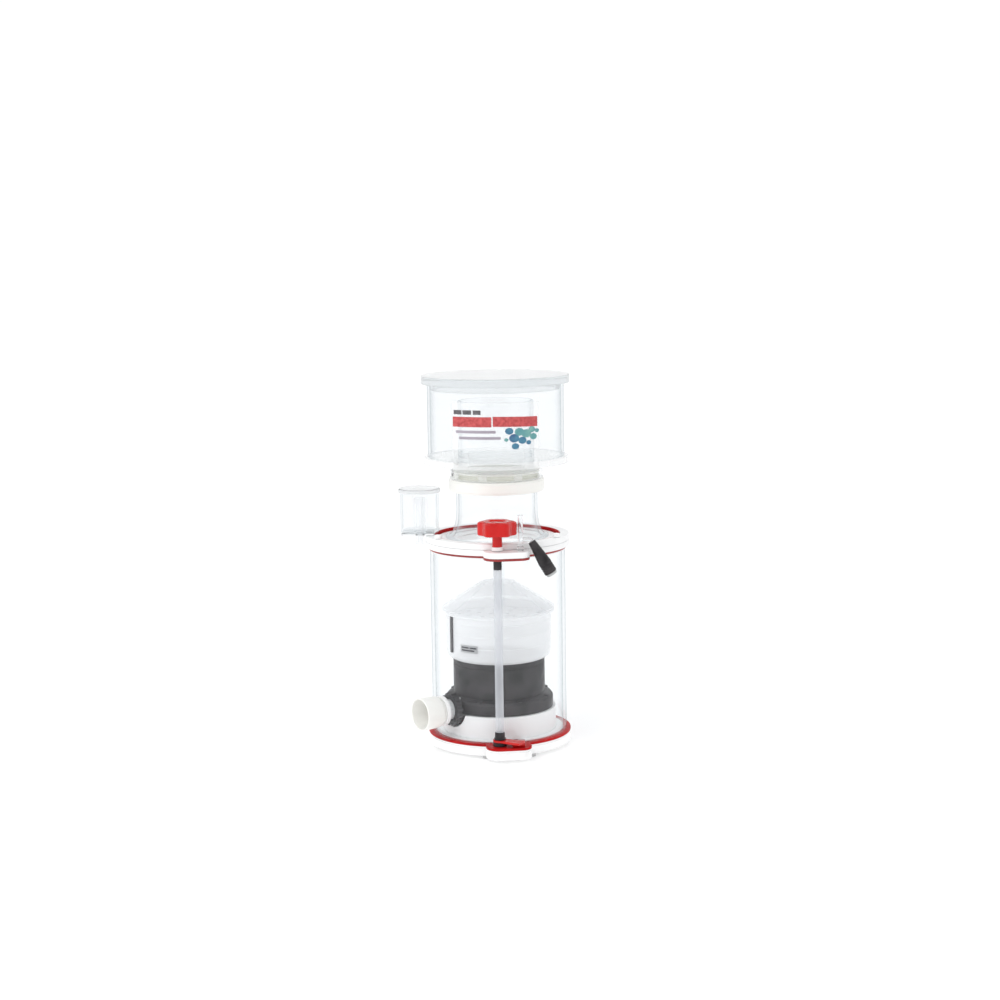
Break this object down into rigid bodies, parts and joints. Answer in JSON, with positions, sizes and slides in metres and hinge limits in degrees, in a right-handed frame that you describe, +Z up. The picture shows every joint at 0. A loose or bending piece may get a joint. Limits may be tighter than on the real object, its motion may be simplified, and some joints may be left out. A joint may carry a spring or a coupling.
{
  "type": "protein skimmer",
  "caption": "Free-standing aquarium protein skimmer: clear reaction body with inner needle-wheel pump, bell neck, lift-off collection cup and knob-turned outlet valve.",
  "frame": {"origin": "centre of the middle rubber foot's underside, on the body's axis", "axes": "+Z up the body's axis, -Y to the front where the valve knob stands, +X to the right seen from the front"},
  "size_m": [0.2535, 0.2459, 0.55],
  "materials": {
    "clear_acrylic": "polished clear cast acrylic",
    "frosted_acrylic": "translucent milky acrylic, satin",
    "red_acrylic": "solid red acrylic, polished, with saw-cut edges",
    "white_pvc": "white PVC, semi-gloss",
    "black_plastic": "black moulded plastic, satin",
    "black_rubber": "matt black rubber",
    "seal_silicone": "olive-grey silicone",
    "grey_foam": "light grey open foam",
    "label_film": "printed white film with plain colour bars",
    "ceramic": "off-white ceramic",
    "magnet": "dark sealed ferrite magnet"
  },
  "bodies": {
    "skimmer_body": {"left_foot": "black_rubber", "right_foot": "black_rubber", "back_foot": "black_rubber", "middle_foot": "black_rubber", "foot_plate": "clear_acrylic", "base_trim": "red_acrylic", "outlet_seat": "red_acrylic", "pump_stand": "white_pvc", "body_tube": "clear_acrylic", "pump_housing": "black_plastic", "stator_block": "black_plastic", "rotor_shaft": "ceramic", "lower_bush": "ceramic", "upper_bush": "ceramic", "pump_cover": "black_plastic", "mixing_drum": "frosted_acrylic", "drum_cone": "clear_acrylic", "bubble_plate": "frosted_acrylic", "suction_pipe": "white_pvc", "wall_washer": "white_pvc", "suction_spout": "white_pvc", "seal_plate": "red_acrylic", "clamp_flange": "white_pvc", "cap_plate": "red_acrylic", "rim_ring": "white_pvc", "flange_screw_1": "white_pvc", "flange_screw_2": "white_pvc", "flange_screw_3": "white_pvc", "cable_gland": "black_plastic", "neck_bell": "clear_acrylic", "neck_collar": "white_pvc", "neck_seal": "seal_silicone", "foot_bearing": "black_plastic", "air_pipe": "clear_acrylic", "silencer_bracket": "clear_acrylic", "silencer_can": "clear_acrylic", "silencer_core": "frosted_acrylic"},
    "cup": {"cup_floor": "clear_acrylic", "cup_wall": "clear_acrylic", "cup_riser": "clear_acrylic", "drain_barb": "white_pvc", "cup_label": "label_film"},
    "lid": {"cup_lid": "clear_acrylic"},
    "drain_cap": {"drain_cap": "black_plastic"},
    "lock_ring": {"lock_ring": "frosted_acrylic"},
    "valve": {"outlet_flap": "red_acrylic", "rod_collar": "black_plastic", "valve_rod": "clear_acrylic", "rod_coupling": "black_plastic", "valve_knob": "red_acrylic"},
    "rotor": {"rotor_magnet": "magnet", "needle_wheel": "white_pvc"},
    "union_nut": {"union_nut": "black_plastic"},
    "air_port": {"port_tube": "clear_acrylic", "air_elbow": "clear_acrylic", "muffler": "black_plastic", "muffler_end": "grey_foam"},
    "silencer_lid": {"silencer_lid": "clear_acrylic"}
  },
  "joints": [
    {"name": "cup_lift", "type": "slide", "parent": "skimmer_body", "child": "cup", "axis": [0, 0, 1], "range_m": [0, 0.12]},
    {"name": "lid_lift", "type": "slide", "parent": "cup", "child": "lid", "axis": [0, 0, 1], "range_m": [0, 0.06]},
    {"name": "drain_cap_pull", "type": "slide", "parent": "cup", "child": "drain_cap", "axis": [0, 0, -1], "range_m": [0, 0.02]},
    {"name": "lock_ring_turn", "type": "hinge", "parent": "skimmer_body", "child": "lock_ring", "pos_m": [0, 0, 0.4], "axis": [0, 0, 1], "range_deg": [0, 22.5]},
    {"name": "valve_turn", "type": "hinge", "parent": "skimmer_body", "child": "valve", "pos_m": [0, -0.112, 0.34], "axis": [0, 0, 1], "range_deg": [-45, 30]},
    {"name": "rotor_spin", "type": "hinge", "parent": "skimmer_body", "child": "rotor", "pos_m": [0, 0, 0.1], "axis": [0, 0, 1], "continuous": true},
    {"name": "union_nut_turn", "type": "hinge", "parent": "skimmer_body", "child": "union_nut", "pos_m": [-0.06979, -0.04852, 0.062], "axis": [-0.8211, -0.5708, 0], "continuous": true},
    {"name": "air_port_swivel", "type": "hinge", "parent": "skimmer_body", "child": "air_port", "pos_m": [0.033, -0.112, 0.31], "axis": [0, 0, 1], "range_deg": [-80, 0]},
    {"name": "silencer_lid_lift", "type": "slide", "parent": "skimmer_body", "child": "silencer_lid", "axis": [0, 0, 1], "range_m": [0, 0.03]}
  ]
}
